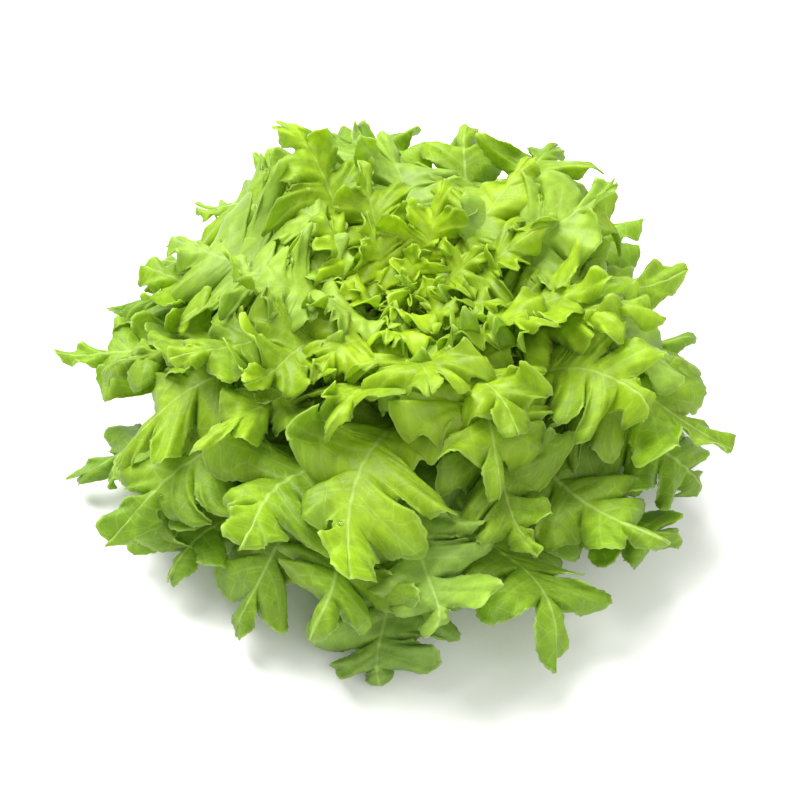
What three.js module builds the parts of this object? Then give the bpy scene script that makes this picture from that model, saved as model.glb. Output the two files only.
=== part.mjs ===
// A head of green oak leaf lettuce, cut off above the root: a short tapered stem carries fifty-eight
// loose leaves in a rosette. The outer leaves are long, arch out low and touch the ground with their
// tips. Each leaf further in is shorter and steeper. The young leaves of the heart, which lie too close
// to hold apart, are one hollow bunch.
// Millimetres, +Z up, with the origin at the centre of the stem's flat cut face.
import * as THREE from "three";

const { lerp, smoothstep, degToRad, clamp } = THREE.MathUtils;

// Driving dimensions of the head. It grew HEAD_LEAVES leaves: the outer LEAF_COUNT are solids of their
// own, and the rest fill the room of the heart, from the youth HEART_YOUTH inwards.
const HEAD_LEAVES = 80;
const LEAF_COUNT = 58;
const HEART_YOUTH = 0.86;
const HEART_SEGMENTS = 32;
const HEART_STEPS = 12;
const HEART_FLOOR = 6;
const HEART_FOOT = 1;
const HEAD_RADIUS = 144;
const HEAD_HEIGHT = 128;
const STEM_HEIGHT = 56;
const STEM_RADIUS = 14;
const STEM_TOP_RADIUS = 5;
const CROWN_RADIUS = 2.8;
const CROWN_RISE = 2;
const CROWN_TOP = STEM_HEIGHT + 2.6;
const STEM_SEGMENTS = 28;
const CLEARANCE = 0.3;

// Leaves follow each other round the stem by the golden angle, give or take the jitter.
const GOLDEN_ANGLE = Math.PI * (3 - Math.sqrt(5));
const FIRST_AZIMUTH = degToRad(80);
const AZIMUTH_JITTER = degToRad(11);
const LENGTH_JITTER = 0.07;
const WIDTH_JITTER = 0.2;

// Where the lowest and the highest leaf leave the stem, and how high the outermost tips hang.
const LOWEST_BASE = 7;
const HIGHEST_BASE = 53;
const TIP_CLEARANCE = 6;
const GROUND_GAP = 0.6;

// The tips lie on a dome. CROWDING above 1 sets more of them low down, the heart is a hollow in the
// dome's top, and the side away from the viewer stands higher. The dome is also a little lopsided.
const CROWDING = 1.45;
const DOME_FULLNESS = 0.95;
const HEART_RADIUS = 5;
const HEART_HOLLOW = 22;
const HOLLOW_START = 0.7;
const BACK_RISE = 16;
const LOPSIDED = 0.05;

// Angles of a leaf's arc above the ground, in degrees, at the stem and at the tip, from the outermost
// leaf to the innermost, and how much further the tips lean over on the near side than on the far one.
const BASE_RISE = [12, 88];
const RISE_EASE = 0.85;
const TIP_RISE = [-40, 62];
const TIP_EASE = 2.2;
const TIP_LEAN = 24;
const BASE_PULL = 0.5;
const TIP_PULL = 0.36;

// The blade, as shares of the leaf's length. Pairs run from the outermost leaf to the innermost.
const VEIN_REACH = 0.88;
const SIDE_VEIN_ANGLE = degToRad(64);
const VEIN_EASE = 7;
const SHOULDER_START = [0.12, 0.3];
const SHOULDER_END = [0.5, 0.62];
const NOSE_START = 0.74;
const LOBES_START = 0.1;
const LOBES_FULL = 0.4;
const PETIOLE_HALF_WIDTH = 0.036;
const BLADE_HALF_WIDTH = [0.225, 0.14];
const TIP_REACH = 0.13;
const LOBE_SPACING = 0.145;
const LOBE_DEPTH = [0.8, 0.6];
const LOBE_SIZE_JITTER = 0.22;
const NOTCH_ROUNDING = 0.004;
const LOBE_ROUNDNESS = 0.5;
const LOBE_TURNS = 0.55;
const LOBE_CHANCE = 0.75;
const LOBE_BLEND = [0.1, 0.9];
const LOBE_FAN = degToRad(24);

// How the blade bends: up from the midrib, then over towards the rim, each lobe to its own angle.
const CHANNEL = [degToRad(16), degToRad(14)];
const CHANNEL_FADE = 0.7;
const CURL = [degToRad(-30), degToRad(-12)];
const CURL_SPREAD = degToRad(18);
const CURL_START = 0.2;
const CURL_FULL = 0.5;
const BEND_EASE = 1.5;
const RAY_STEPS = 8;

// Blade thickness in millimetres at the leaf's base, along its midrib and at its margin.
const BASE_THICKNESS = [1.6, 0.9];
const BASE_SEAT = 0.55;
const RIB_THICKNESS = 0.9;
const MARGIN_THICKNESS = 0.6;
const RIB_FADE = [0, 0.6];
const MARGIN_FADE = [0.05, 0.4];

// The net of points that a blade is built on has five columns, from margin to margin, and rows that
// are counted in lobes back from the tip: far apart on the lower blade and closer near the tip.
const COLUMN_OUTS = [1, 0.55, 0, 0.55, 1];
const COLUMN_SIDES = [-1, -1, 0, 1, 1];
const MIDDLE_COLUMN = 2;
const STALK_ROWS = [0, 0.2];
const LOBES_A_SIDE = 4;
const FINE_LOBES = 2.5;
const COARSE_STEP = 0.5;
const FINE_STEP = 0.25;

// The whole head is bent a little by waves this strong, so that no two leaves lie alike. They start
// at a distance from the stem and at a height above the ground. Two waves move each axis: a wave is
// its pitch along X, Y and Z, in radians per millimetre, and its start.
const WARP = 4.5;
const WARP_START = 18;
const WARP_FULL = 80;
const WARP_HEIGHT = 30;
const WARP_WAVES = [
  [[0, 0.061, 0.043, 0.7], [-0.037, 0, 0.083, 2.1]],
  [[0.057, 0, -0.051, 1.9], [0, 0.045, 0.071, 4.4]],
  [[0.069, 0.033, 0, 3.1], [-0.039, 0.074, 0, 0.3]],
];

const LEAF_GREEN = 0x7da63a;
const HEART_GREEN = 0xb7d63f;
const STEM_CREAM = 0xd5e0b4;

// How young a leaf is: 0 for the outermost, 1 for the innermost of the head.
const youthOf = (index) => index / (HEAD_LEAVES - 1);

const baseThickness = (youth) => lerp(...BASE_THICKNESS, youth);

const stemRadiusAt = (height) => lerp(STEM_RADIUS, STEM_TOP_RADIUS, height / STEM_HEIGHT);

// What a leaf draws chance numbers for. A lobe's use is counted up from its leaf's.
const USE = { azimuth: 1, length: 2, width: 3, lobeSize: 40, lobeCurl: 60 };

// A repeatable number from -1 to 1 for this leaf and this use: a sine so steep that its fraction jumps
// about.
const INDEX_STEP = 12.9898;
const USE_STEP = 78.233;
const STEEPNESS = 43758.5453;

function chance(index, use) {
  const value = Math.sin(index * INDEX_STEP + use * USE_STEP) * STEEPNESS;
  return 2 * (value - Math.floor(value)) - 1;
}

// The curve that every leaf of this youth follows in the upright plane at this azimuth, from the stem
// to its tip: x is the distance from the stem's axis and y the height. Curves of different youth never
// cross, which keeps the leaves apart.
function leafArc(youth, azimuth) {
  const onDome = (youth ** CROWDING * Math.PI) / 2;
  const reach = HEAD_RADIUS * (1 - LOPSIDED * Math.cos(azimuth) * (1 - youth));
  const domeHeight = TIP_CLEARANCE + (HEAD_HEIGHT - TIP_CLEARANCE) * Math.sin(onDome) ** DOME_FULLNESS;
  const backRise = BACK_RISE * Math.max(0, Math.sin(azimuth)) * Math.cos(onDome);
  const hollow = HEART_HOLLOW * smoothstep(youth, HOLLOW_START, 1);
  const baseHeight = lerp(LOWEST_BASE, HIGHEST_BASE, youth);
  const baseRadius = stemRadiusAt(baseHeight) + CLEARANCE + baseThickness(youth) * BASE_SEAT;
  const base = new THREE.Vector2(baseRadius, baseHeight);
  const tip = new THREE.Vector2(reach * Math.cos(onDome) + HEART_RADIUS, domeHeight + backRise - hollow);
  const chord = base.distanceTo(tip);
  const rise = degToRad(lerp(...BASE_RISE, Math.sin(onDome) ** RISE_EASE));
  const lean = TIP_LEAN * Math.sin(azimuth) * (1 - youth);
  const droop = degToRad(lerp(...TIP_RISE, youth ** TIP_EASE) + lean);
  const leave = new THREE.Vector2(Math.cos(rise), Math.sin(rise)).multiplyScalar(chord * BASE_PULL);
  const arrive = new THREE.Vector2(Math.cos(droop), Math.sin(droop)).multiplyScalar(chord * TIP_PULL);
  return new THREE.CubicBezierCurve(base, base.clone().add(leave), tip.clone().sub(arrive), tip);
}

// Half a blade is drawn by rays that start on the midrib and turn forwards. "along" runs from 0 at the
// leaf's base to 1 at its tip, and "out" from 0 at the midrib to 1 at the margin.
const veinAngle = (along) => SIDE_VEIN_ANGLE * (1 - along ** VEIN_EASE);

// How many lobes back from the tip this ray is: whole numbers are lobe ends, halves are the notches.
const lobePhase = (along) => (1 - along) / LOBE_SPACING;

// A number from about -1 to 1 that each lobe has for itself, smooth from one lobe to the next. Part of
// it alternates from lobe to lobe and from side to side, and part is drawn by chance.
function byLobe(index, use, side, phase) {
  const lobe = Math.floor(phase);
  const own = (k) => chance(index, use + 2 * k + (k > 0 && side > 0 ? 1 : 0));
  const turns = Math.cos(Math.PI * (phase + index + 0.5 * side));
  const drawn = lerp(own(lobe), own(lobe + 1), smoothstep(phase - lobe, ...LOBE_BLEND));
  return LOBE_TURNS * turns + LOBE_CHANCE * drawn;
}

function rayLength(leaf, along, side) {
  const { index, youth } = leaf;
  const phase = lobePhase(along);
  const shoulder = smoothstep(along, lerp(...SHOULDER_START, youth), lerp(...SHOULDER_END, youth));
  const nose = smoothstep(along, NOSE_START, 1);
  const halfWidth = lerp(...BLADE_HALF_WIDTH, youth);
  const blade = lerp(lerp(PETIOLE_HALF_WIDTH, halfWidth, shoulder), TIP_REACH, nose);
  const crest = (Math.cos(Math.PI * phase) ** 2 + NOTCH_ROUNDING) ** LOBE_ROUNDNESS;
  const depth = lerp(...LOBE_DEPTH, youth) * smoothstep(along, LOBES_START, LOBES_FULL);
  const size = 1 + LOBE_SIZE_JITTER * byLobe(index, USE.lobeSize, side, phase) * (1 - nose);
  return leaf.length * leaf.width * blade * size * (1 - depth * (1 - crest));
}

// Follows a ray out from the midrib in short steps: how far it goes forwards, sideways and up.
function followRay(leaf, along, out, side) {
  const phase = lobePhase(along);
  const ease = smoothstep(along, CURL_START, CURL_FULL);
  const channel = lerp(...CHANNEL, leaf.youth) * (1 - CHANNEL_FADE * along);
  const turn = lerp(...CURL, leaf.youth) + CURL_SPREAD * byLobe(leaf.index, USE.lobeCurl, side, phase);
  const fan = LOBE_FAN * ease * Math.sin(2 * Math.PI * phase);
  const step = (out * rayLength(leaf, along, side)) / RAY_STEPS;
  const end = new THREE.Vector3();
  for (let count = 0; count < RAY_STEPS; count++) {
    const middle = (out * (count + 0.5)) / RAY_STEPS;
    const bend = lerp(channel, ease * turn, middle ** BEND_EASE);
    const angle = veinAngle(along) + fan * middle;
    const run = step * Math.cos(bend);
    end.x += run * Math.cos(angle);
    end.y += run * Math.sin(angle);
    end.z += step * Math.sin(bend);
  }
  return end;
}

// Bends the whole head. Neighbours move together, and the stem and the ground stay as they are.
function warp(point) {
  const { x, y, z } = point;
  const ease = WARP * smoothstep(Math.hypot(x, y), WARP_START, WARP_FULL) * clamp(z / WARP_HEIGHT, 0, 1);
  const height = ([alongX, alongY, alongZ, start]) => Math.sin(alongX * x + alongY * y + alongZ * z + start);
  const shift = WARP_WAVES.map(([first, second]) => height(first) + height(second));
  return point.clone().addScaledVector(new THREE.Vector3(...shift), ease);
}

// The place of a blade point in space. "side" is -1, 0 or 1.
function bladePoint(leaf, along, out, side) {
  const ray = followRay(leaf, along, out, side);
  const forward = (VEIN_REACH * along + ray.x / leaf.length) * leaf.arcShare;
  const onArc = (arc) => arc.getPoint(Math.min(forward, 1));
  const middle = onArc(leafArc(leaf.youth, leaf.azimuth));
  const azimuth = leaf.azimuth + (side * ray.y) / Math.max(middle.x, STEM_RADIUS);
  const arc = leafArc(leaf.youth, azimuth);
  const heading = arc.getTangent(clamp(forward, 0, 1));
  const beyond = Math.max(0, forward - 1) * leaf.length;
  const place = onArc(arc).addScaledVector(heading, beyond);
  const radius = place.x - ray.z * heading.y;
  const height = place.y + ray.z * heading.x;
  const point = warp(new THREE.Vector3(radius * Math.cos(azimuth), radius * Math.sin(azimuth), height));
  point.z = Math.max(point.z, GROUND_GAP);
  return point;
}

// Rows of the blade's net, as values of "along", from the stalk to the tip.
function netRows() {
  const rows = [...STALK_ROWS];
  let phase = LOBES_A_SIDE;
  while (phase >= 0) {
    rows.push(1 - phase * LOBE_SPACING);
    phase -= phase > FINE_LOBES ? COARSE_STEP : FINE_STEP;
  }
  return rows;
}

// The flat net of a leaf: each row runs from one margin over the midrib to the other. The two halves
// of the last row fall on each other at the tip, so they share points.
function leafNet(leaf) {
  const rows = netRows();
  const points = [];
  const thickness = [];
  const ids = rows.map((along, row) => {
    const last = row === rows.length - 1;
    return COLUMN_OUTS.map((out, column) => {
      if (last && column > MIDDLE_COLUMN) {
        return points.length - 1 - (column - MIDDLE_COLUMN);
      }
      points.push(bladePoint(leaf, along, out, COLUMN_SIDES[column]));
      const rib = lerp(baseThickness(leaf.youth), RIB_THICKNESS, smoothstep(along, ...RIB_FADE));
      thickness.push(lerp(rib, MARGIN_THICKNESS, out * smoothstep(along, ...MARGIN_FADE)));
      return points.length - 1;
    });
  });
  return { points, thickness, ids };
}

// Closes a net into a solid: its upper and lower skins lie half the thickness to each side along the
// net's normals, and a rim joins them round the margin.
function leafSolid(leaf) {
  const { points, thickness, ids } = leafNet(leaf);
  const faces = [];
  for (let row = 0; row + 1 < ids.length; row++) {
    for (let column = 0; column + 1 < ids[row].length; column++) {
      const [a, b] = [ids[row][column], ids[row][column + 1]];
      const [c, d] = [ids[row + 1][column + 1], ids[row + 1][column]];
      faces.push([a, d, b], [b, d, c]);
    }
  }
  const net = new THREE.BufferGeometry().setFromPoints(points).setIndex(faces.flat());
  net.computeVertexNormals();
  const normals = net.getAttribute("normal");
  const skin = (share) =>
    points.map((point, i) =>
      new THREE.Vector3().fromBufferAttribute(normals, i).multiplyScalar(thickness[i] * share).add(point)
    );

  // An edge that no second face shares in the other direction lies on the margin.
  const edges = new Map();
  for (const [a, b, c] of faces) {
    for (const [from, to] of [[a, b], [b, c], [c, a]]) {
      const inside = edges.delete(`${to},${from}`);
      if (!inside) {
        edges.set(`${from},${to}`, [from, to]);
      }
    }
  }
  const below = points.length;
  const rim = [...edges.values()].flatMap(([a, b]) => [a, a + below, b, b, a + below, b + below]);
  const under = faces.flatMap(([a, b, c]) => [a + below, c + below, b + below]);
  return new THREE.BufferGeometry()
    .setFromPoints([...skin(0.5), ...skin(-0.5)])
    .setIndex([...faces.flat(), ...under, ...rim]);
}

// The stem is a solid taper with a slightly rounded crown and a flat cut face.
function stemGeometry() {
  const profile = [
    new THREE.Vector2(0, 0),
    new THREE.Vector2(STEM_RADIUS, 0),
    new THREE.Vector2(STEM_TOP_RADIUS, STEM_HEIGHT),
    new THREE.Vector2(CROWN_RADIUS, STEM_HEIGHT + CROWN_RISE),
    new THREE.Vector2(0, CROWN_TOP),
  ];
  return new THREE.LatheGeometry(profile, STEM_SEGMENTS).rotateX(Math.PI / 2);
}

// The heart is a deep cup that follows the arcs of the leaves round it: up its outside along the arc
// of the heart's oldest leaf, and down its inside along the arc of the youngest.
function heartGeometry() {
  const floor = CROWN_TOP + CLEARANCE;
  const well = floor + HEART_FLOOR;
  const above = (arc, height) => arc.getPoints(HEART_STEPS).filter((point) => point.y > height + HEART_FOOT);
  const outside = above(leafArc(HEART_YOUTH, 0), floor);
  const inside = above(leafArc(1, 0), well).reverse();
  const profile = [
    new THREE.Vector2(0, floor),
    new THREE.Vector2(outside[0].x - HEART_FOOT, floor),
    ...outside,
    ...inside,
    new THREE.Vector2(0, well),
  ];
  const geometry = new THREE.LatheGeometry(profile, HEART_SEGMENTS).rotateX(Math.PI / 2);
  const places = geometry.getAttribute("position");
  for (let i = 0; i < places.count; i++) {
    const place = warp(new THREE.Vector3().fromBufferAttribute(places, i));
    places.setXYZ(i, place.x, place.y, place.z);
  }
  return geometry;
}

function makeLeaf(index) {
  const youth = youthOf(index);
  const azimuth = FIRST_AZIMUTH + index * GOLDEN_ANGLE + AZIMUTH_JITTER * chance(index, USE.azimuth);
  const arcShare = 1 - LENGTH_JITTER + LENGTH_JITTER * chance(index, USE.length);
  const length = leafArc(youth, azimuth).getLength() * arcShare;
  const width = 1 + WIDTH_JITTER * chance(index, USE.width);
  const color = new THREE.Color(LEAF_GREEN).lerp(new THREE.Color(HEART_GREEN), youth);
  const mesh = new THREE.Mesh(
    leafSolid({ index, youth, azimuth, arcShare, length, width }),
    new THREE.MeshStandardMaterial({ color, roughness: 0.45, metalness: 0 })
  );
  mesh.name = `leaf_${String(index + 1).padStart(2, "0")}`;
  return mesh;
}

const lettuce = new THREE.Group();
const stem = new THREE.Mesh(
  stemGeometry(),
  new THREE.MeshStandardMaterial({ color: STEM_CREAM, roughness: 0.6, metalness: 0 })
);
stem.name = "stem";
lettuce.add(stem);
const heart = new THREE.Mesh(
  heartGeometry(),
  new THREE.MeshStandardMaterial({ color: HEART_GREEN, roughness: 0.45, metalness: 0 })
);
heart.name = "heart";
lettuce.add(heart);
for (let index = 0; index < LEAF_COUNT; index++) lettuce.add(makeLeaf(index));

export default lettuce;
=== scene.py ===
import math
import random

import bpy
import numpy as np
from bpy.props import FloatProperty, FloatVectorProperty, IntProperty, PointerProperty
from mathutils import Matrix, Vector


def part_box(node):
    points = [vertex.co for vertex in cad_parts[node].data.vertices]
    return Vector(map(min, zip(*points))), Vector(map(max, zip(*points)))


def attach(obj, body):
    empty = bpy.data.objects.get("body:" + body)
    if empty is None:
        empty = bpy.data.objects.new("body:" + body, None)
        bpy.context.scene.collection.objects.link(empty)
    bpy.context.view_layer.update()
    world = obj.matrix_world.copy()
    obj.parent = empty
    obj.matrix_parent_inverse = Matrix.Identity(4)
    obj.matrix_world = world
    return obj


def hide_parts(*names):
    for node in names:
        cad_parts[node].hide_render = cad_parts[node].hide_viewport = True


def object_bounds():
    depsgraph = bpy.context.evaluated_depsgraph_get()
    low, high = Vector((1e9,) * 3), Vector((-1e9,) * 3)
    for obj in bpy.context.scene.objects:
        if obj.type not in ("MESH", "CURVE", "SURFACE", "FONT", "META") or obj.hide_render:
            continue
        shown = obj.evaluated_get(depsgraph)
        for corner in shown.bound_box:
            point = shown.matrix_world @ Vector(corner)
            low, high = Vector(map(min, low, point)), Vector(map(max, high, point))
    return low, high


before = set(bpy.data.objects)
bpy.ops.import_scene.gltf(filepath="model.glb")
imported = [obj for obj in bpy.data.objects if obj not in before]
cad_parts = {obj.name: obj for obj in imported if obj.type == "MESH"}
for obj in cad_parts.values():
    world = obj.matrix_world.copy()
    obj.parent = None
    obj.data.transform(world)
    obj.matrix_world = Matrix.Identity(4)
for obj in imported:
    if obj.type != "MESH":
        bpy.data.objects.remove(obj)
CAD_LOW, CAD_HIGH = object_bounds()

bl_info = {
    "name": "Oak leaf lettuce",
    "version": (1, 0, 0),
    "blender": (4, 5, 0),
    "location": "View3D > Sidebar > Lettuce",
    "description": "Finishes a cut head of green oak leaf lettuce: its leaves, stem and water drops",
    "category": "Object",
}

MM = 0.001
LEAF_NODES = sorted(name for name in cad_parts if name.startswith("leaf_"))
LEAF_COUNT = 80

# The stem, read from its solid.
STEM_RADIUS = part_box("stem")[1].x / MM
STEM_HEIGHT = 56
STEM_TOP_RADIUS = 5
CLEARANCE = 0.3

# The rosette, in millimetres and degrees, as the solids have it.
HEAD_RADIUS = 144
HEAD_HEIGHT = 128
GOLDEN_ANGLE = math.pi * (3 - math.sqrt(5))
FIRST_AZIMUTH = math.radians(80)
LOWEST_BASE = 7
HIGHEST_BASE = 53
TIP_CLEARANCE = 6
CROWDING = 1.45
BASE_RISE = (12, 88)
TIP_RISE = (-40, 62)
TIP_LEAN = 24
HEART_HOLLOW = 22
BACK_RISE = 16
LOPSIDED = 0.05
DOME_FULLNESS = 0.95
HEART_RADIUS = 5
RISE_EASE = 0.85
TIP_EASE = 2.2
BASE_PULL = 0.5
TIP_PULL = 0.36
BASE_SEAT = 0.55
BASE_THICKNESS = (1.6, 0.9)
AZIMUTH_JITTER = math.radians(11)
LENGTH_JITTER = 0.07
WIDTH_JITTER = 0.13

# The blade, as shares of the leaf's length.
VEIN_REACH = 0.88
SIDE_VEIN_ANGLE = math.radians(64)
VEIN_EASE = 11
PETIOLE_HALF_WIDTH = 0.036
BLADE_HALF_WIDTH = (0.225, 0.3)
TIP_REACH = 0.14
LOBE_SPACING = 0.145
LOBE_FAN = math.radians(8)
NOTCH_ROUNDING = 0.004
LOBE_ROUNDNESS = 0.44
LOBE_SIZE_JITTER = 0.26

# Heights in millimetres: how far a lobe's notches hang below its end, the ruffles of the outermost and
# innermost leaves, the blisters, how far the tip of a long leaf lifts and sags, how far a tip may stand
# above the solids' top, and the least height over the ground.
LOBE_CROWN = 7
RUFFLE = (3.2, 3.0)
RUFFLE_PITCH = (19, 9)
BLISTER = 0.38
TIP_LIFT = 14
TIP_SAG = 3
LONG_LEAF = 140
TOP_ROOM = 9
LOWEST = 0.5

# The whole head is bent by waves this strong. They start at a distance from the stem and at a height
# above the ground. Two waves move each axis: a wave is its pitch along X, Y and Z, in radians per
# millimetre, and its start.
WARP = 4.5
WARP_START = 18
WARP_FULL = 80
WARP_HEIGHT = 30
WARP_WAVES = (
    ((0, 0.061, 0.043, 0.7), (-0.037, 0, 0.083, 2.1)),
    ((0.057, 0, -0.051, 1.9), (0, 0.045, 0.071, 4.4)),
    ((0.069, 0.033, 0, 3.1), (-0.039, 0.074, 0, 0.3)),
)

# How the blade bends: up from the midrib in a channel, then over to the rim.
CHANNEL = (16, 30)
CHANNEL_FADE = 0.7
BEND_EASE = 1.5

# The margin's saw teeth lean to the tip and are this share of their pitch deep.
TOOTH_LEAN = 0.7
TOOTH_DEPTH = 0.42

DROP_SEED = 11

# The studio, in metres, watts and degrees.
LIGHTS = (
    ("key", (-0.3, 0.4, 1.0), 1.0, 39.0),
    ("fill", (0.5, -0.9, 0.7), 1.2, 9.0),
)
LIGHT_DISTANCE = 1.3
LIGHT_TARGET = (0, 0, 0.04)
SKY_STRENGTH = 0.58
FLOOR_SIZE = 12
LENS = 85
CAMERA_RISE = math.radians(50)
CAMERA_DISTANCE = 0.825
CAMERA_AIM = (-0.004, 0.0, 0.027)


# ---------------------------------------------------------------- sizes and colours a user would change


def linear(code):
    """A colour given as sRGB hex, in the linear values that Blender's shaders take."""
    shares = [((code >> shift) & 255) / 255 for shift in (16, 8, 0)]
    return [s / 12.92 if s <= 0.04045 else ((s + 0.055) / 1.055) ** 2.4 for s in shares] + [1.0]


class LeafSettings(bpy.types.PropertyGroup):
    lobe_depth: FloatProperty(
        name="Lobe depth", description="How deep the notches cut into the blade", default=0.84, min=0,
        max=0.9,
    )
    curl: FloatProperty(
        name="Curl", description="How far the lobes turn down at their rims", default=math.radians(38),
        subtype="ANGLE",
    )
    curl_spread: FloatProperty(
        name="Curl spread", description="How much that turn differs between lobes", default=math.radians(85),
        subtype="ANGLE",
    )
    tooth: FloatProperty(
        name="Tooth pitch", description="Distance between the teeth of the margin", default=3.4 * MM,
        unit="LENGTH",
    )
    thickness: FloatProperty(
        name="Blade thickness", description="Thickness of the blade near its margin", default=0.45 * MM,
        unit="LENGTH",
    )
    step: FloatProperty(
        name="Margin step", description="Length of one face along the margin", default=1.25 * MM,
        unit="LENGTH",
    )


class DropSettings(bpy.types.PropertyGroup):
    count: IntProperty(name="Drops", description="How many water drops are tried", default=170, min=1)
    radius: FloatProperty(
        name="Drop radius", description="Radius of the largest drop", default=1.25 * MM, unit="LENGTH"
    )


class ColourSettings(bpy.types.PropertyGroup):
    outer: FloatVectorProperty(
        name="Outer leaf", description="Colour of the oldest leaves", subtype="COLOR", size=4, min=0, max=1,
        default=linear(0x82A726),
    )
    heart: FloatVectorProperty(
        name="Heart leaf", description="Colour of the youngest leaves", subtype="COLOR", size=4, min=0,
        max=1, default=linear(0xB2CE18),
    )
    vein: FloatVectorProperty(
        name="Vein", description="Colour of the midribs and veins", subtype="COLOR", size=4, min=0, max=1,
        default=linear(0xCFE288),
    )
    deep: FloatVectorProperty(
        name="Deep green", description="Darker patches of the blades", subtype="COLOR", size=4, min=0, max=1,
        default=linear(0x558216),
    )
    bloom: FloatVectorProperty(
        name="Underside", description="Dull pale green of the leaves' backs", subtype="COLOR", size=4, min=0,
        max=1, default=linear(0xA8C668),
    )
    pith: FloatVectorProperty(
        name="Pith", description="Inside of the stem", subtype="COLOR", size=4, min=0, max=1,
        default=linear(0xE6EBC8),
    )
    sap: FloatVectorProperty(
        name="Dried sap", description="Stain of dried sap on the cut", subtype="COLOR", size=4, min=0, max=1,
        default=linear(0xB98A5A),
    )
    floor: FloatVectorProperty(
        name="Floor", description="Colour of the surface under the head", subtype="COLOR", size=4, min=0,
        max=1, default=linear(0xFBFBF9),
    )


# ---------------------------------------------------------------- the shape of a leaf


def lerp(start, end, share):
    return start + (end - start) * share


def smoothstep(value, low, high):
    share = np.clip((value - low) / (high - low), 0, 1)
    return share * share * (3 - 2 * share)


def chance(index, salt):
    """A repeatable number from -1 to 1 for this leaf, with another salt for each use."""
    value = math.sin(index * 12.9898 + salt * 78.233) * 43758.5453
    return 2 * (value - math.floor(value)) - 1


def leaf_arc(youth, azimuth, forward):
    """Where the arc of this youth is at "forward" of its length, in the upright plane at this azimuth:
    distance from the axis, height, and the direction it heads in. Arrays in, arrays out."""
    on_dome = youth**CROWDING * math.pi / 2
    reach = HEAD_RADIUS * (1 - LOPSIDED * np.cos(azimuth) * (1 - youth))
    tip_height = TIP_CLEARANCE + (HEAD_HEIGHT - TIP_CLEARANCE) * math.sin(on_dome) ** DOME_FULLNESS
    back_rise = BACK_RISE * np.maximum(0, np.sin(azimuth)) * math.cos(on_dome)
    hollow = HEART_HOLLOW * smoothstep(youth, 0.7, 1)
    base_height = lerp(LOWEST_BASE, HIGHEST_BASE, youth)
    stem_radius = lerp(STEM_RADIUS, STEM_TOP_RADIUS, base_height / STEM_HEIGHT)
    base_radius = stem_radius + CLEARANCE + lerp(*BASE_THICKNESS, youth) * BASE_SEAT
    base = np.stack([np.full_like(azimuth, base_radius), np.full_like(azimuth, base_height)])
    tip = np.stack([reach * math.cos(on_dome) + HEART_RADIUS, tip_height + back_rise - hollow])
    chord = np.hypot(*(tip - base))
    rise = math.radians(lerp(*BASE_RISE, math.sin(on_dome) ** RISE_EASE))
    droop = np.radians(lerp(*TIP_RISE, youth**TIP_EASE) + TIP_LEAN * np.sin(azimuth) * (1 - youth))
    leave = base + np.array([[math.cos(rise)], [math.sin(rise)]]) * chord * BASE_PULL
    arrive = tip - np.stack([np.cos(droop), np.sin(droop)]) * chord * TIP_PULL
    t = np.clip(forward, 0, 1)
    place = (1 - t) ** 3 * base + 3 * (1 - t) ** 2 * t * leave + 3 * (1 - t) * t**2 * arrive + t**3 * tip
    slope = (1 - t) ** 2 * (leave - base) + 2 * (1 - t) * t * (arrive - leave) + t**2 * (tip - arrive)
    heading = slope / np.hypot(*slope)
    return place + heading * np.maximum(0, forward - 1) * chord, heading


def arc_length(youth, azimuth):
    """Length of the arc, in millimetres, over 60 points."""
    forward = np.linspace(0, 1, 60)
    place, _ = leaf_arc(youth, np.full_like(forward, azimuth), forward)
    return float(np.hypot(*np.diff(place, axis=1)).sum())


def vein_angle(along):
    """The angle between the midrib and the ray that leaves it here: wide low down, none at the tip."""
    return SIDE_VEIN_ANGLE * (1 - along**VEIN_EASE)


def by_lobe(index, salt, side, phase):
    """A number from about -1 to 1 that each lobe has for itself, smooth from one lobe to the next."""
    lobe = np.floor(phase).astype(int)
    share = smoothstep(phase - lobe, 0.1, 0.9)
    row = np.array([chance(index, salt + 2 * k + (1 if k and side > 0 else 0)) for k in range(12)])
    turns = 0.55 * np.cos(math.pi * (phase + index + 0.5 * side))
    return turns + 0.85 * lerp(row[np.clip(lobe, 0, 11)], row[np.clip(lobe + 1, 0, 11)], share)


def ray_length(leaf, along, side, lobe_depth):
    """Length of the ray from the midrib to the margin, as a share of the leaf's length."""
    youth = leaf["youth"]
    phase = (1 - along) / LOBE_SPACING
    shoulder = smoothstep(along, lerp(0.12, 0.3, youth), lerp(0.5, 0.62, youth))
    nose = smoothstep(along, 0.74, 1)
    blade = lerp(lerp(PETIOLE_HALF_WIDTH, lerp(*BLADE_HALF_WIDTH, youth), shoulder), TIP_REACH, nose)
    crest = (np.cos(math.pi * phase) ** 2 + NOTCH_ROUNDING) ** LOBE_ROUNDNESS
    depth = lobe_depth * lerp(1, 0.75, youth) * smoothstep(along, 0.1, 0.4)
    size = 1 + LOBE_SIZE_JITTER * by_lobe(leaf["index"], 40, side, phase) * (1 - nose)
    scallop = 1 + 0.07 * np.cos(4 * math.pi * phase + side) * smoothstep(youth, 0.3, 0.7)
    return leaf["width"] * blade * size * scallop * (1 - depth * (1 - crest))


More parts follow.
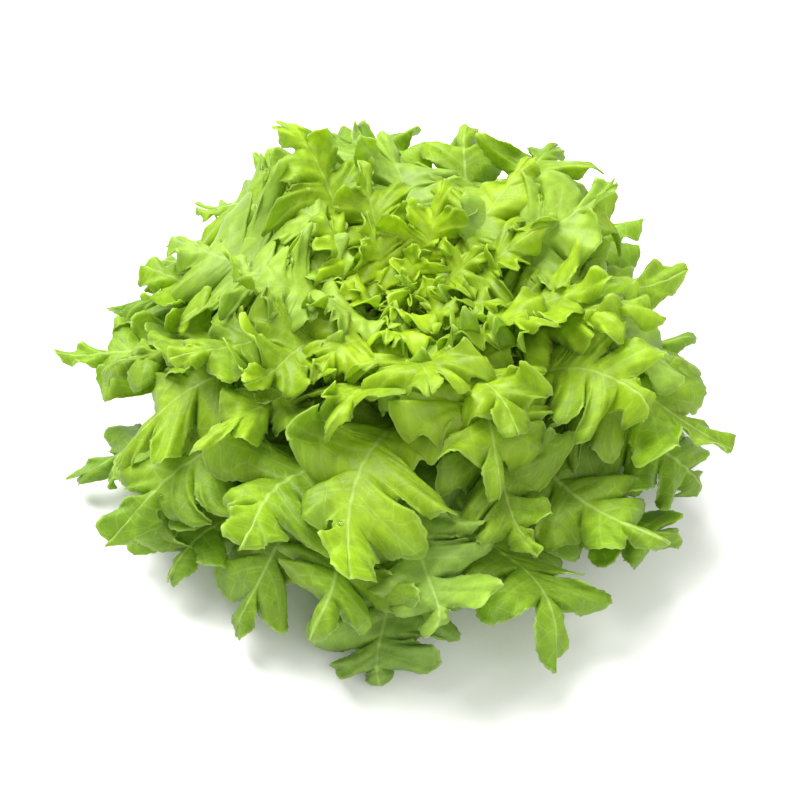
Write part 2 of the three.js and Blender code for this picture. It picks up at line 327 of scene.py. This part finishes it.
def flat_ray(leaf, along, side, out, lobe_depth, bend=0.0):
    """Follows the rays out from the midrib on the flat leaf: how far each point of each ray goes sideways
    and forwards, in millimetres. "bend" is how steeply each stretch of each ray rises or falls."""
    phase = (1 - along) / LOBE_SPACING
    middle = (out[1:] + out[:-1]) / 2
    fan = (LOBE_FAN * smoothstep(along, 0.2, 0.5) * np.sin(2 * math.pi * phase))[:, None] * middle[None, :]
    angle = vein_angle(along)[:, None] + fan
    reach = ray_length(leaf, along, side, lobe_depth) * leaf["length"]
    step = np.diff(out)[None, :] * reach[:, None]
    zero = np.zeros((len(along), 1))
    sideways = np.concatenate([zero, np.cumsum(np.cos(bend) * step * np.sin(angle), axis=1)], axis=1)
    forward = np.concatenate([zero, np.cumsum(np.cos(bend) * step * np.cos(angle), axis=1)], axis=1)
    lift = np.concatenate([zero, np.cumsum(np.sin(bend) * step * np.ones_like(angle), axis=1)], axis=1)
    return sideways, forward + VEIN_REACH * along[:, None] * leaf["length"], lift


def rim_line(leaf, along, side, lobe_depth):
    """The margin of half a flat leaf, and the distance travelled along it."""
    sideways, forward, _ = flat_ray(leaf, along, side, np.linspace(0, 1, 9), lobe_depth)
    line = np.stack([sideways[:, -1], forward[:, -1]])
    return line, np.concatenate([[0], np.cumsum(np.hypot(*np.diff(line, axis=1)))])


def teeth(distance, pitch, index, side):
    """Saw teeth along the margin, 0 in a nick and 1 at a point, that lean to the tip and differ in size."""
    count = distance / pitch
    saw = count - np.floor(count)
    size = 0.65 + 0.35 * np.sin(count * 1.7 + index) * np.sin(count * 0.43 + 3 * side)
    return np.minimum(saw / TOOTH_LEAN, (1 - saw) / (1 - TOOTH_LEAN)) * size


def warp(points):
    """Bends the whole head a little, so that no two leaves lie alike. Neighbours move together."""
    x, y, z = points
    ease = smoothstep(np.hypot(x, y), WARP_START, WARP_FULL) * np.clip(z / WARP_HEIGHT, 0, 1)
    shift = np.stack([
        sum(np.sin(by_x * x + by_y * y + by_z * z + start) for by_x, by_y, by_z, start in waves)
        for waves in WARP_WAVES
    ])
    return points + WARP * ease * shift


def leaf_facts(index):
    """What sets one leaf apart: its youth, the way it points, and its length and width."""
    youth = index / (LEAF_COUNT - 1)
    azimuth = FIRST_AZIMUTH + index * GOLDEN_ANGLE + AZIMUTH_JITTER * chance(index, 1)
    return {
        "index": index,
        "youth": youth,
        "azimuth": azimuth,
        "length": arc_length(youth, azimuth) * (1 - LENGTH_JITTER + LENGTH_JITTER * chance(index, 2)),
        "width": 1 + WIDTH_JITTER * chance(index, 3),
    }


def half_blade(leaf, along, side, out, options):
    """Places the points of one half of a blade. "along" has one value per row and "out" one per column."""
    index, youth, length = leaf["index"], leaf["youth"], leaf["length"]
    phase = (1 - along) / LOBE_SPACING
    reach = ray_length(leaf, along, side, options.lobe_depth) * length
    flat, margin = rim_line(leaf, along, side, options.lobe_depth)
    pitch = options.tooth / MM * lerp(1, 0.75, youth)
    fringe = TOOTH_DEPTH * pitch * teeth(margin, pitch, index, side) * smoothstep(along, 0.18, 0.4)
    heading = np.gradient(flat, axis=1)
    heading /= np.maximum(np.hypot(*heading), 1e-9)

    # Each ray bends up from the midrib's channel and over to the rim.
    channel = math.radians(lerp(*CHANNEL, youth)) * (1 - CHANNEL_FADE * along)
    ease = smoothstep(along, 0.2, 0.5)
    turn = -options.curl * lerp(1, 0.7, youth) + options.curl_spread * lerp(1, 1.25, youth) * by_lobe(
        index, 60, side, phase
    )
    middle = (out[1:] + out[:-1]) / 2
    bend = channel[:, None] + (ease * turn - channel)[:, None] * middle[None, :] ** BEND_EASE
    sideways, forward, lift = flat_ray(leaf, along, side, out, options.lobe_depth, bend)

    # Small frills, the sag of the notches between lobes and the saw teeth ride on that.
    frill_pitch = lerp(*RUFFLE_PITCH, youth)
    frill = np.sin(2 * math.pi * margin / frill_pitch + 6 * chance(index, 5) + 2.5 * np.sin(margin / 21))
    lift += lerp(*RUFFLE, smoothstep(youth, 0.3, 0.8)) * (ease * frill)[:, None] * out[None, :] ** 3
    crown = LOBE_CROWN * lerp(1, 0.5, youth) * (2 * (phase - np.round(phase))) ** 2
    lift -= (ease * crown)[:, None] * out[None, :] ** 2
    sideways += (fringe * heading[1])[:, None] * out[None, :] ** 6
    forward += (fringe * -heading[0])[:, None] * out[None, :] ** 6
    return forward / length, side * sideways, lift, reach


def leaf_points(leaf, along, out, options):
    """All the points of a blade as an array of rows and columns, with what its material needs to know."""
    halves = [half_blade(leaf, along, side, out, options) for side in (-1, 1)]
    forward, sideways, lift = (
        np.concatenate([left[:, :0:-1], right], axis=1) for left, right in zip(halves[0][:3], halves[1][:3])
    )
    youth, length = leaf["youth"], leaf["length"]
    share = length / arc_length(youth, leaf["azimuth"])
    middle, _ = leaf_arc(youth, np.full(forward.size, leaf["azimuth"]), (forward * share).ravel())
    azimuth = leaf["azimuth"] + sideways.ravel() / np.maximum(middle[0], STEM_RADIUS)
    place, heading = leaf_arc(youth, azimuth, (forward * share).ravel())

    # The leaf rolls a little about its midrib and its tip hangs or lifts.
    rise = lift.ravel()
    rise = rise + sideways.ravel() * math.tan(math.radians(9) * chance(leaf["index"], 7))
    tip_rise = (TIP_LIFT * chance(leaf["index"], 8) - TIP_SAG) * length / LONG_LEAF
    rise = rise + smoothstep(forward.ravel(), 0.5, 1.05) * tip_rise
    quilt = np.sin(0.9 * sideways + 0.35 * leaf["index"]) * np.sin(0.8 * forward * length + sideways * 0.25)
    rise = rise + BLISTER * quilt.ravel() * smoothstep(forward.ravel(), 0.3, 0.5)
    radius = place[0] - rise * heading[1]
    height = place[1] + rise * heading[0]
    points = warp(np.stack([radius * np.cos(azimuth), radius * np.sin(azimuth), height]))
    top = CAD_HIGH.z / MM
    over = np.maximum(points[2] - top, 0)
    points[2] = np.where(over > 0, top + TOP_ROOM * np.tanh(over / TOP_ROOM), np.maximum(points[2], LOWEST))
    return points, forward, sideways, halves


def margin_steps(leaf, options):
    """Values of "along" that are one margin step apart, base to tip."""
    fine = np.linspace(0, 1, 700)
    lengths = []
    for side in (-1, 1):
        lengths.append(rim_line(leaf, fine, side, options.lobe_depth)[1])
    travelled = sum(lengths) / 2 + 0.1 * leaf["length"] * fine
    rows = max(24, round(travelled[-1] * MM / options.step))
    return np.interp(np.linspace(0, travelled[-1], rows + 1), travelled, fine)


# ---------------------------------------------------------------- modelling helpers


def deselect():
    if bpy.context.object and bpy.context.object.mode != "OBJECT":
        bpy.ops.object.mode_set(mode="OBJECT")
    bpy.ops.object.select_all(action="DESELECT")


def apply_modifier(piece, kind, **settings):
    made = piece.modifiers.new(kind.title(), kind)
    for name, value in settings.items():
        setattr(made, name, value)
    bpy.context.view_layer.objects.active = piece
    bpy.ops.object.modifier_apply(modifier=made.name)


def add_attribute(mesh, name, values):
    layer = mesh.attributes.new(name, "FLOAT", "POINT")
    layer.data.foreach_set("value", np.asarray(values, dtype=np.float32).ravel())


def build_leaf(index, options, materials):
    """One leaf: a grid laid out as the blade, folded together at the tip, thickened and smoothed."""
    leaf = leaf_facts(index)
    along = margin_steps(leaf, options)
    columns = round(lerp(8.4, 6, leaf["youth"]))
    out = np.linspace(0, 1, columns + 1) ** 0.85
    deselect()
    bpy.ops.mesh.primitive_grid_add(x_subdivisions=2 * columns, y_subdivisions=len(along) - 1, size=1)
    piece = bpy.context.object
    piece.name = f"blade_{index + 1:02d}"
    mesh = piece.data
    start = np.empty(len(mesh.vertices) * 3)
    mesh.vertices.foreach_get("co", start)
    start = start.reshape(-1, 3)
    order = np.lexsort((np.round(start[:, 0], 6), np.round(start[:, 1], 6)))
    points, forward, sideways, halves = leaf_points(leaf, along, out, options)
    placed = np.empty_like(start)
    placed[order] = points.T * MM
    mesh.vertices.foreach_set("co", placed.ravel())

    def spread(values):
        ordered = np.empty(len(order))
        ordered[order] = np.asarray(values, dtype=float).ravel()
        return ordered

    phase = (1 - along) / LOBE_SPACING
    gap = np.abs(phase - np.round(phase)) * LOBE_SPACING * leaf["length"] * VEIN_REACH
    outs = np.concatenate([out[:0:-1], out])
    reach = [half[3] for half in halves]
    reaches = np.concatenate([
        np.repeat(reach[0][:, None], columns, axis=1), np.repeat(reach[1][:, None], columns + 1, axis=1)
    ], axis=1)
    add_attribute(mesh, "rim", spread((1 - outs)[None, :] * reaches))
    rib_width = lerp(2.6, 0.7, np.clip(forward, 0, 1)) * lerp(1, 0.6, leaf["youth"])
    add_attribute(mesh, "rib", spread(np.abs(sideways) / rib_width))
    vein_width = lerp(0.8, 0.3, outs[None, :]) * lerp(1, 0.6, leaf["youth"])
    add_attribute(mesh, "vein", spread(gap[:, None] * (0.7 + 0.6 * outs[None, :]) / vein_width))
    add_attribute(mesh, "youth", np.full(len(order), leaf["youth"]))
    add_attribute(mesh, "along", spread(forward))
    flat = np.stack([spread(sideways), spread(forward * leaf["length"])], axis=1) * MM
    corner = np.empty(len(mesh.loops), dtype=np.int32)
    mesh.loops.foreach_get("vertex_index", corner)
    layer = mesh.uv_layers[0]
    layer.name = "blade"
    layer.data.foreach_set("uv", flat[corner].astype(np.float32).ravel())

    thick = piece.vertex_groups.new(name="thick")
    rib = np.exp(-np.abs(spread(sideways)) / lerp(2.2, 1.4, leaf["youth"]))
    base = 1 - smoothstep(spread(forward), 0.05, 0.75)
    weights = np.clip(0.25 + 0.75 * rib * (0.3 + 0.7 * base), 0, 1)
    for vertex, weight in enumerate(np.round(weights, 2)):
        thick.add((vertex,), float(weight), "REPLACE")
    bpy.ops.object.mode_set(mode="EDIT")
    bpy.ops.mesh.select_all(action="SELECT")
    bpy.ops.mesh.remove_doubles(threshold=0.02 * MM)
    bpy.ops.mesh.normals_make_consistent(inside=False)
    bpy.ops.object.mode_set(mode="OBJECT")
    before = len(mesh.vertices)
    apply_modifier(
        piece, "SOLIDIFY", thickness=options.thickness * 4, offset=0, vertex_group="thick",
        use_even_offset=False, use_rim=True,
    )
    add_attribute(mesh, "under", np.arange(len(mesh.vertices)) >= before)
    bpy.ops.object.shade_smooth()
    slot = "outer_leaf" if leaf["youth"] < 0.45 else "inner_leaf" if leaf["youth"] < 0.8 else "heart_leaf"
    mesh.materials.clear()
    mesh.materials.append(materials[slot])
    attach(piece, "root")
    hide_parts(LEAF_NODES[index] if index < len(LEAF_NODES) else "heart")


# ---------------------------------------------------------------- materials


def add_node(tree, kind, inputs=(), **settings):
    """Adds a node, sets its settings and fills its sockets with values or with links."""
    made = tree.nodes.new(kind)
    for name, value in settings.items():
        setattr(made, name, value)
    for socket, value in dict(inputs).items():
        if isinstance(value, bpy.types.NodeSocket):
            tree.links.new(value, made.inputs[socket])
        else:
            made.inputs[socket].default_value = value
    return made


def new_material(name):
    made = bpy.data.materials.new(name)
    made.use_nodes = True
    made.node_tree.nodes.clear()
    return made, made.node_tree


def attribute(tree, name):
    return add_node(tree, "ShaderNodeAttribute", attribute_name=name).outputs["Fac"]


def share_between(tree, value, low, high, at_low, at_high):
    """A smooth ramp: at_low where the value is low or less, at_high where it is high or more."""
    return add_node(tree, "ShaderNodeMapRange", {
        "Value": value, "From Min": low, "From Max": high, "To Min": at_low, "To Max": at_high,
    }, interpolation_type="SMOOTHSTEP").outputs["Result"]


def mix_colours(tree, share, under, over):
    return add_node(tree, "ShaderNodeMix", {"Factor": share, "A": under, "B": over},
                    data_type="RGBA").outputs["Result"]


def scale(tree, value, share):
    return add_node(tree, "ShaderNodeMath", {0: value, 1: share}, operation="MULTIPLY").outputs["Value"]


def leaf_material(name, colours, roughness):
    """Living lettuce blade: a watery green web between two waxy skins. The wax gives a soft satin shine,
    the web lets light through in a warmer green, and the veins between its cells show pale."""
    made, tree = new_material(name)
    place = add_node(tree, "ShaderNodeTexCoord").outputs["Object"]
    flat = add_node(tree, "ShaderNodeUVMap", uv_map="blade").outputs["UV"]
    youth = attribute(tree, "youth")
    patch = add_node(tree, "ShaderNodeTexNoise", {"Vector": place, "Scale": 1 / (36 * MM), "Detail": 2.0})
    fleck = add_node(tree, "ShaderNodeTexNoise", {"Vector": flat, "Scale": 1 / (5 * MM), "Detail": 4.0})
    body = mix_colours(tree, youth, colours.outer, colours.heart)
    shade = share_between(tree, patch.outputs["Fac"], 0.35, 0.7, 0, 0.45)
    moody = mix_colours(tree, shade, body, colours.deep)
    stalk = share_between(tree, attribute(tree, "along"), 0.05, 0.5, 0.8, 0)
    body = mix_colours(tree, stalk, moody, colours.vein)

    # A coarse mesh of veins with a fine one inside it, then the midrib, side veins and a paler margin. The
    # paler margin is painted light: it stands in for light shining through the thin edge.
    coarse = add_node(tree, "ShaderNodeTexVoronoi", {"Vector": flat, "Scale": 1 / (7 * MM)},
                      feature="DISTANCE_TO_EDGE", voronoi_dimensions="2D")
    fine = add_node(tree, "ShaderNodeTexVoronoi", {"Vector": flat, "Scale": 1 / (2.2 * MM)},
                    feature="DISTANCE_TO_EDGE", voronoi_dimensions="2D")
    lines = (
        share_between(tree, coarse.outputs["Distance"], 0.0, 0.06, 0.2, 0),
        share_between(tree, fine.outputs["Distance"], 0.0, 0.12, 0.1, 0),
        share_between(tree, attribute(tree, "rib"), 0.15, 1.0, 0.5, 0),
        share_between(tree, attribute(tree, "vein"), 0.1, 1.3, 0.2, 0),
        # painted light: the margin is paled as if lit through its thin edge
        share_between(tree, attribute(tree, "rim"), 0.3, 1.5, 0.34, 0),
    )
    pale = lines[0]
    for line in lines[1:]:
        pale = add_node(tree, "ShaderNodeMath", {0: pale, 1: line}, operation="MAXIMUM").outputs["Value"]
    pale = add_node(tree, "ShaderNodeMath", {
        0: pale, 1: share_between(tree, youth, 0.3, 1, 1, 0.4),
    }, operation="MULTIPLY").outputs["Value"]
    veined = mix_colours(tree, pale, body, colours.vein)
    backed = mix_colours(tree, scale(tree, attribute(tree, "under"), 0.35), veined, colours.bloom)
    tone = add_node(tree, "ShaderNodeHueSaturation", {
        "Value": share_between(tree, fleck.outputs["Fac"], 0.3, 0.7, 0.88, 1.1), "Color": backed,
    }).outputs["Color"]
    pores = add_node(tree, "ShaderNodeBump", {"Height": fleck.outputs["Fac"], "Strength": 0.35,
                     "Distance": 0.5 * MM})
    web = add_node(tree, "ShaderNodeBump", {"Height": pale, "Strength": 0.6, "Distance": 0.7 * MM,
                   "Normal": pores.outputs["Normal"]}, invert=True)
    skin = add_node(tree, "ShaderNodeBsdfPrincipled", {
        "Base Color": tone, "Normal": web.outputs["Normal"], "IOR": 1.42, "Sheen Weight": 0.05,
        "Roughness": share_between(tree, fleck.outputs["Fac"], 0.3, 0.7, roughness - 0.06, roughness + 0.08),
    })
    warm = add_node(tree, "ShaderNodeHueSaturation", {"Hue": 0.485, "Saturation": 1.3, "Value": 1.45,
                    "Color": tone})
    glow = add_node(tree, "ShaderNodeBsdfTranslucent", {"Color": warm.outputs["Color"]})
    mixed = add_node(tree, "ShaderNodeMixShader", {0: 0.45, 1: skin.outputs[0], 2: glow.outputs[0]})
    add_node(tree, "ShaderNodeOutputMaterial", {"Surface": mixed.outputs[0]})
    return made


def stem_material(colours):
    """Lettuce stem: crisp, wet pith under a thin green rind. The cut shows the pith's rings, browned
    where its milky sap has dried."""
    made, tree = new_material("lettuce_stem")
    place = add_node(tree, "ShaderNodeTexCoord").outputs["Object"]
    height = add_node(tree, "ShaderNodeSeparateXYZ", {0: place}).outputs["Z"]
    fibre = add_node(tree, "ShaderNodeTexNoise", {"Vector": place, "Scale": 1 / (4 * MM), "Detail": 5.0})
    rings = add_node(tree, "ShaderNodeTexWave", {
        "Vector": place, "Scale": 1 / (30 * MM), "Distortion": 3.0, "Detail": 2.0,
    }, wave_type="RINGS", rings_direction="Z")
    rind = mix_colours(tree, share_between(tree, fibre.outputs["Fac"], 0.3, 0.7, 0, 1), colours.vein,
                       colours.pith)
    sap = mix_colours(tree, share_between(tree, rings.outputs["Fac"], 0.2, 0.8, 0.1, 0.6), colours.pith,
                      colours.sap)
    colour = mix_colours(tree, share_between(tree, height, 0.2 * MM, 1.2 * MM, 1, 0), rind, sap)
    grain = add_node(tree, "ShaderNodeBump", {"Height": fibre.outputs["Fac"], "Strength": 0.4,
                     "Distance": 0.8 * MM})
    skin = add_node(tree, "ShaderNodeBsdfPrincipled", {
        "Base Color": colour, "Roughness": 0.45, "IOR": 1.4, "Normal": grain.outputs["Normal"],
    })
    add_node(tree, "ShaderNodeOutputMaterial", {"Surface": skin.outputs[0]})
    return made


def water_material():
    """Water: clear, smooth and rounded, so each drop gives one sharp spark of light."""
    made, tree = new_material("water")
    place = add_node(tree, "ShaderNodeTexCoord").outputs["Object"]
    haze = add_node(tree, "ShaderNodeTexNoise", {"Vector": place, "Scale": 1 / (3 * MM)})
    skin = add_node(tree, "ShaderNodeBsdfPrincipled", {
        "Base Color": linear(0xF6FAF0), "IOR": 1.33, "Transmission Weight": 1.0,
        "Roughness": share_between(tree, haze.outputs["Fac"], 0.3, 0.7, 0.0, 0.05),
    })
    add_node(tree, "ShaderNodeOutputMaterial", {"Surface": skin.outputs[0]})
    return made


def floor_material(colours):
    """Painted board: an even, pale, matt coat that gives the head a quiet ground."""
    made, tree = new_material("painted_board")
    skin = add_node(tree, "ShaderNodeBsdfPrincipled", {"Base Color": colours.floor, "Roughness": 0.7})
    add_node(tree, "ShaderNodeOutputMaterial", {"Surface": skin.outputs[0]})
    return made


# ---------------------------------------------------------------- operators and panel


class LETTUCE_OT_stage(bpy.types.Operator):
    """Sets the pale floor, the soft lights and the camera"""

    bl_idname = "lettuce.stage"
    bl_label = "Stage"

    def execute(self, context):
        colours = context.scene.lettuce_colour
        deselect()
        bpy.ops.mesh.primitive_plane_add(size=FLOOR_SIZE)
        floor = context.object
        floor.name = "floor"
        floor.data.materials.append(floor_material(colours))
        world = bpy.data.worlds.new("studio")
        world.use_nodes = True
        world.node_tree.nodes["Background"].inputs["Color"].default_value = (1, 1, 1, 1)
        world.node_tree.nodes["Background"].inputs["Strength"].default_value = SKY_STRENGTH
        context.scene.world = world
        target = Vector(LIGHT_TARGET)
        for name, direction, size, power in LIGHTS:
            light = bpy.data.lights.new(name, "AREA")
            light.size = size
            light.energy = power
            holder = bpy.data.objects.new(name, light)
            holder.location = target + Vector(direction).normalized() * LIGHT_DISTANCE
            holder.rotation_euler = (target - holder.location).to_track_quat("-Z", "Y").to_euler()
            context.scene.collection.objects.link(holder)
        camera_data = bpy.data.cameras.new("camera")
        camera_data.lens = LENS
        camera = bpy.data.objects.new("camera", camera_data)
        back = Vector((0, -math.cos(CAMERA_RISE), math.sin(CAMERA_RISE)))
        camera.location = Vector(CAMERA_AIM) + back * CAMERA_DISTANCE
        camera.rotation_euler = (-back).to_track_quat("-Z", "Y").to_euler()
        context.scene.collection.objects.link(camera)
        context.scene.camera = camera
        context.scene.view_settings.view_transform = "Standard"
        return {"FINISHED"}


class LETTUCE_OT_leaves(bpy.types.Operator):
    """Lays out every leaf of the rosette"""

    bl_idname = "lettuce.leaves"
    bl_label = "Leaves"

    def execute(self, context):
        options = context.scene.lettuce_leaf
        colours = context.scene.lettuce_colour
        materials = {
            "outer_leaf": leaf_material("outer_leaf_blade", colours, 0.46),
            "inner_leaf": leaf_material("inner_leaf_blade", colours, 0.42),
            "heart_leaf": leaf_material("heart_leaf_blade", colours, 0.38),
        }
        for index in range(LEAF_COUNT):
            build_leaf(index, options, materials)
        return {"FINISHED"}


class LETTUCE_OT_stem(bpy.types.Operator):
    """Finishes the stem and its cut face"""

    bl_idname = "lettuce.stem"
    bl_label = "Stem"

    def execute(self, context):
        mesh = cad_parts["stem"].data
        mesh.materials.clear()
        mesh.materials.append(stem_material(context.scene.lettuce_colour))
        return {"FINISHED"}


class LETTUCE_OT_drops(bpy.types.Operator):
    """Sprinkles water drops on the upper faces of the outer leaves"""

    bl_idname = "lettuce.drops"
    bl_label = "Water drops"

    def execute(self, context):
        options = context.scene.lettuce_drops
        draw = random.Random(DROP_SEED)
        deselect()
        bpy.ops.mesh.primitive_ico_sphere_add(subdivisions=2, radius=1)
        bead = context.object
        bpy.ops.object.shade_smooth()
        bpy.ops.object.select_all(action="DESELECT")
        drops = []
        for _ in range(options.count):
            blade = bpy.data.objects[f"blade_{draw.randint(3, 46):02d}"].data
            seats = [v for v in draw.sample(list(blade.vertices), 40) if v.normal.z > 0.55]
            if not seats:
                continue
            seat = seats[0]
            size = options.radius * draw.uniform(0.45, 1.0)
            drop = bead.copy()
            drop.data = bead.data.copy()
            turn = seat.normal.to_track_quat("Z", "Y").to_matrix().to_4x4()
            squash = Matrix.Diagonal((size, size * draw.uniform(0.8, 1.0), size * 0.6, 1))
            drop.data.transform(Matrix.Translation(seat.co + seat.normal * size * 0.25) @ turn @ squash)
            context.collection.objects.link(drop)
            drops.append(drop)
        bpy.data.objects.remove(bead)
        for drop in drops:
            drop.select_set(True)
        context.view_layer.objects.active = drops[0]
        bpy.ops.object.join()
        piece = context.object
        piece.name = "water_drops"
        piece.data.materials.append(water_material())
        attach(piece, "root")
        return {"FINISHED"}


class LETTUCE_PT_panel(bpy.types.Panel):
    """Lists the lettuce's operators and settings in the 3D view's sidebar"""

    bl_label = "Oak leaf lettuce"
    bl_idname = "LETTUCE_PT_panel"
    bl_space_type = "VIEW_3D"
    bl_region_type = "UI"
    bl_category = "Lettuce"

    def draw(self, context):
        for each in OPERATORS:
            self.layout.operator(each.bl_idname)
        for group in (context.scene.lettuce_leaf, context.scene.lettuce_drops, context.scene.lettuce_colour):
            for name in group.__annotations__:
                self.layout.prop(group, name)


OPERATORS = (LETTUCE_OT_stage, LETTUCE_OT_leaves, LETTUCE_OT_stem, LETTUCE_OT_drops)
CLASSES = (LeafSettings, DropSettings, ColourSettings, *OPERATORS, LETTUCE_PT_panel)


def register():
    for each in CLASSES:
        bpy.utils.register_class(each)
    bpy.types.Scene.lettuce_leaf = PointerProperty(type=LeafSettings)
    bpy.types.Scene.lettuce_drops = PointerProperty(type=DropSettings)
    bpy.types.Scene.lettuce_colour = PointerProperty(type=ColourSettings)


def unregister():
    del bpy.types.Scene.lettuce_colour
    del bpy.types.Scene.lettuce_drops
    del bpy.types.Scene.lettuce_leaf
    for each in reversed(CLASSES):
        bpy.utils.unregister_class(each)


def main():
    register()
    bpy.ops.lettuce.stage()
    bpy.ops.lettuce.leaves()
    bpy.ops.lettuce.stem()
    bpy.ops.lettuce.drops()


if __name__ == "__main__":
    main()
